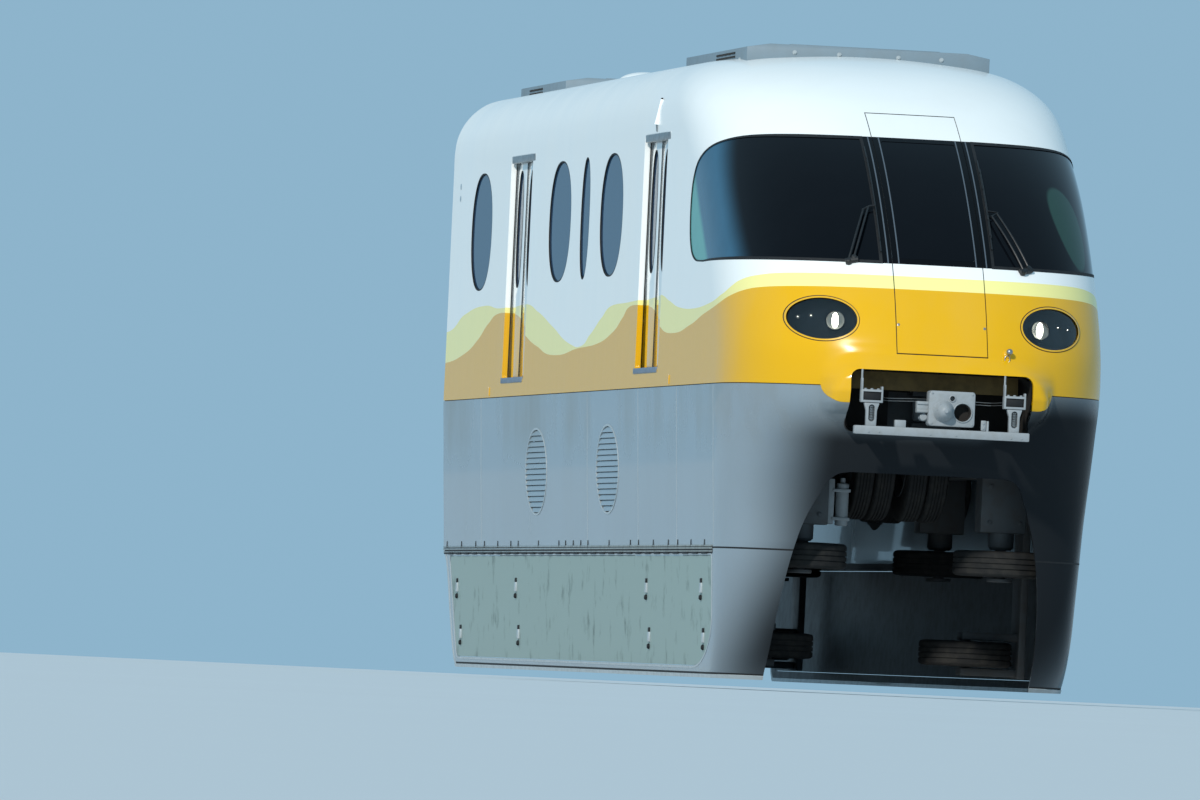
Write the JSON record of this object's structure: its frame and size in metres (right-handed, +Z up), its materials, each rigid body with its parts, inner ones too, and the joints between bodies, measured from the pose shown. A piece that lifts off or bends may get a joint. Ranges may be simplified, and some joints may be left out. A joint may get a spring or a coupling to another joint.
{
  "type": "monorail lead car",
  "caption": "Lead car of a straddle-beam monorail with a rounded nose, sliding doors, deep skirts and two guided bogies.",
  "frame": {"origin": "middle of the car on the beam's running surface, which the running wheels stand on", "axes": "+X towards the car's left side as it faces forwards, -Y towards its front, +Z up"},
  "size_m": [2.98, 15.3, 5.05],
  "materials": {
    "body_white": "gloss white paint with yellow waves below the windows",
    "body_yellow": "gloss yellow paint, white above the front glass",
    "body_grey": "satin grey paint",
    "skirt_panel": "weathered greenish grey paint",
    "dark_glass": "dark tinted glass",
    "dark_steel": "dark grey paint on welded steel",
    "unit_grey": "light grey paint",
    "bellows": "black folded rubber",
    "cab_plastic": "dark grain plastic",
    "seat_cloth": "blue cloth",
    "tyre": "black rubber on grey steel discs"
  },
  "bodies": {
    "car_body": {"side_wall_left": "body_white", "side_wall_right": "body_white", "roof": "body_white", "rear_wall": "body_white", "cab_bulkhead": "body_white", "nose_shell": "body_yellow", "chin": "body_grey", "lower_side_left": "body_grey", "lower_side_right": "body_grey", "skirt_left": "body_grey", "skirt_right": "body_grey", "skirt_panel_left": "skirt_panel", "skirt_panel_right": "skirt_panel", "windshield_left": "dark_glass", "windshield_right": "dark_glass", "headlamp_left": "dark_glass", "headlamp_right": "dark_glass", "glazing_mid_left": "dark_glass", "glazing_mid_right": "dark_glass", "glazing_rear_left": "dark_glass", "glazing_rear_right": "dark_glass", "underframe": "dark_steel", "roof_unit_front": "unit_grey", "roof_unit_rear": "unit_grey", "step_bar": "unit_grey", "gangway": "bellows", "cab_desk": "cab_plastic", "cab_seat": "cab_plastic", "bench_left": "seat_cloth", "bench_right": "seat_cloth"},
    "front_door": {"front_door": "body_yellow", "front_door_glass": "dark_glass"},
    "coupler": {"coupler": "unit_grey"},
    "leaf_front_fore_left": {"leaf_front_fore_left": "body_white"},
    "leaf_front_aft_left": {"leaf_front_aft_left": "body_white"},
    "leaf_front_fore_right": {"leaf_front_fore_right": "body_white"},
    "leaf_front_aft_right": {"leaf_front_aft_right": "body_white"},
    "leaf_rear_fore_left": {"leaf_rear_fore_left": "body_white"},
    "leaf_rear_aft_left": {"leaf_rear_aft_left": "body_white"},
    "leaf_rear_fore_right": {"leaf_rear_fore_right": "body_white"},
    "leaf_rear_aft_right": {"leaf_rear_aft_right": "body_white"},
    "bogie_front": {"bogie_front": "dark_steel"},
    "wheelset_front_fore": {"wheelset_front_fore": "tyre"},
    "guide_wheel_front_fore_left": {"guide_wheel_front_fore_left": "tyre"},
    "guide_wheel_front_fore_right": {"guide_wheel_front_fore_right": "tyre"},
    "wheelset_front_aft": {"wheelset_front_aft": "tyre"},
    "guide_wheel_front_aft_left": {"guide_wheel_front_aft_left": "tyre"},
    "guide_wheel_front_aft_right": {"guide_wheel_front_aft_right": "tyre"},
    "stabiliser_wheel_front_left": {"stabiliser_wheel_front_left": "tyre"},
    "stabiliser_wheel_front_right": {"stabiliser_wheel_front_right": "tyre"},
    "bogie_rear": {"bogie_rear": "dark_steel"},
    "wheelset_rear_fore": {"wheelset_rear_fore": "tyre"},
    "guide_wheel_rear_fore_left": {"guide_wheel_rear_fore_left": "tyre"},
    "guide_wheel_rear_fore_right": {"guide_wheel_rear_fore_right": "tyre"},
    "wheelset_rear_aft": {"wheelset_rear_aft": "tyre"},
    "guide_wheel_rear_aft_left": {"guide_wheel_rear_aft_left": "tyre"},
    "guide_wheel_rear_aft_right": {"guide_wheel_rear_aft_right": "tyre"},
    "stabiliser_wheel_rear_left": {"stabiliser_wheel_rear_left": "tyre"},
    "stabiliser_wheel_rear_right": {"stabiliser_wheel_rear_right": "tyre"}
  },
  "joints": [
    {"name": "front_door_hinge", "type": "hinge", "parent": "car_body", "child": "front_door", "pos_m": [0, -5.626, 3.157], "axis": [-1, 0, 0], "range_deg": [0, 75]},
    {"name": "coupler_swing", "type": "hinge", "parent": "car_body", "child": "coupler", "pos_m": [0, -6.76, 0.85], "axis": [0, 0, 1], "range_deg": [-10, 10]},
    {"name": "leaf_front_fore_left_slide", "type": "slide", "parent": "car_body", "child": "leaf_front_fore_left", "axis": [0, -1, 0], "range_m": [0, 0.53]},
    {"name": "leaf_front_aft_left_slide", "type": "slide", "parent": "car_body", "child": "leaf_front_aft_left", "axis": [0, 1, 0], "range_m": [0, 0.53]},
    {"name": "leaf_front_fore_right_slide", "type": "slide", "parent": "car_body", "child": "leaf_front_fore_right", "axis": [0, -1, 0], "range_m": [0, 0.53]},
    {"name": "leaf_front_aft_right_slide", "type": "slide", "parent": "car_body", "child": "leaf_front_aft_right", "axis": [0, 1, 0], "range_m": [0, 0.53]},
    {"name": "leaf_rear_fore_left_slide", "type": "slide", "parent": "car_body", "child": "leaf_rear_fore_left", "axis": [0, -1, 0], "range_m": [0, 0.55]},
    {"name": "leaf_rear_aft_left_slide", "type": "slide", "parent": "car_body", "child": "leaf_rear_aft_left", "axis": [0, 1, 0], "range_m": [0, 0.55]},
    {"name": "leaf_rear_fore_right_slide", "type": "slide", "parent": "car_body", "child": "leaf_rear_fore_right", "axis": [0, -1, 0], "range_m": [0, 0.55]},
    {"name": "leaf_rear_aft_right_slide", "type": "slide", "parent": "car_body", "child": "leaf_rear_aft_right", "axis": [0, 1, 0], "range_m": [0, 0.55]},
    {"name": "bogie_front_swivel", "type": "hinge", "parent": "car_body", "child": "bogie_front", "pos_m": [0, -4.8, 0.8], "axis": [0, 0, 1], "range_deg": [-5, 5]},
    {"name": "wheelset_front_fore_spin", "type": "hinge", "parent": "bogie_front", "child": "wheelset_front_fore", "pos_m": [0, -5.55, 0.503], "axis": [1, 0, 0], "continuous": true},
    {"name": "guide_wheel_front_fore_left_spin", "type": "hinge", "parent": "bogie_front", "child": "guide_wheel_front_fore_left", "pos_m": [0.79, -6.05, -0.3], "axis": [0, 0, 1], "continuous": true},
    {"name": "guide_wheel_front_fore_right_spin", "type": "hinge", "parent": "bogie_front", "child": "guide_wheel_front_fore_right", "pos_m": [-0.79, -6.05, -0.3], "axis": [0, 0, 1], "continuous": true},
    {"name": "wheelset_front_aft_spin", "type": "hinge", "parent": "bogie_front", "child": "wheelset_front_aft", "pos_m": [0, -4.05, 0.503], "axis": [1, 0, 0], "continuous": true},
    {"name": "guide_wheel_front_aft_left_spin", "type": "hinge", "parent": "bogie_front", "child": "guide_wheel_front_aft_left", "pos_m": [0.79, -3.55, -0.3], "axis": [0, 0, 1], "continuous": true},
    {"name": "guide_wheel_front_aft_right_spin", "type": "hinge", "parent": "bogie_front", "child": "guide_wheel_front_aft_right", "pos_m": [-0.79, -3.55, -0.3], "axis": [0, 0, 1], "continuous": true},
    {"name": "stabiliser_wheel_front_left_spin", "type": "hinge", "parent": "bogie_front", "child": "stabiliser_wheel_front_left", "pos_m": [0.79, -4.8, -1], "axis": [0, 0, 1], "continuous": true},
    {"name": "stabiliser_wheel_front_right_spin", "type": "hinge", "parent": "bogie_front", "child": "stabiliser_wheel_front_right", "pos_m": [-0.79, -4.8, -1], "axis": [0, 0, 1], "continuous": true},
    {"name": "bogie_rear_swivel", "type": "hinge", "parent": "car_body", "child": "bogie_rear", "pos_m": [0, 4.8, 0.8], "axis": [0, 0, 1], "range_deg": [-5, 5]},
    {"name": "wheelset_rear_fore_spin", "type": "hinge", "parent": "bogie_rear", "child": "wheelset_rear_fore", "pos_m": [0, 4.05, 0.503], "axis": [1, 0, 0], "continuous": true},
    {"name": "guide_wheel_rear_fore_left_spin", "type": "hinge", "parent": "bogie_rear", "child": "guide_wheel_rear_fore_left", "pos_m": [0.79, 3.55, -0.3], "axis": [0, 0, 1], "continuous": true},
    {"name": "guide_wheel_rear_fore_right_spin", "type": "hinge", "parent": "bogie_rear", "child": "guide_wheel_rear_fore_right", "pos_m": [-0.79, 3.55, -0.3], "axis": [0, 0, 1], "continuous": true},
    {"name": "wheelset_rear_aft_spin", "type": "hinge", "parent": "bogie_rear", "child": "wheelset_rear_aft", "pos_m": [0, 5.55, 0.503], "axis": [1, 0, 0], "continuous": true},
    {"name": "guide_wheel_rear_aft_left_spin", "type": "hinge", "parent": "bogie_rear", "child": "guide_wheel_rear_aft_left", "pos_m": [0.79, 6.05, -0.3], "axis": [0, 0, 1], "continuous": true},
    {"name": "guide_wheel_rear_aft_right_spin", "type": "hinge", "parent": "bogie_rear", "child": "guide_wheel_rear_aft_right", "pos_m": [-0.79, 6.05, -0.3], "axis": [0, 0, 1], "continuous": true},
    {"name": "stabiliser_wheel_rear_left_spin", "type": "hinge", "parent": "bogie_rear", "child": "stabiliser_wheel_rear_left", "pos_m": [0.79, 4.8, -1], "axis": [0, 0, 1], "continuous": true},
    {"name": "stabiliser_wheel_rear_right_spin", "type": "hinge", "parent": "bogie_rear", "child": "stabiliser_wheel_rear_right", "pos_m": [-0.79, 4.8, -1], "axis": [0, 0, 1], "continuous": true}
  ],
  "couplings": [
    {"joint": "leaf_front_aft_left_slide", "follows": "leaf_front_fore_left_slide", "ratio": 1},
    {"joint": "leaf_front_aft_right_slide", "follows": "leaf_front_fore_right_slide", "ratio": 1},
    {"joint": "leaf_rear_aft_left_slide", "follows": "leaf_rear_fore_left_slide", "ratio": 1},
    {"joint": "leaf_rear_aft_right_slide", "follows": "leaf_rear_fore_right_slide", "ratio": 1}
  ]
}
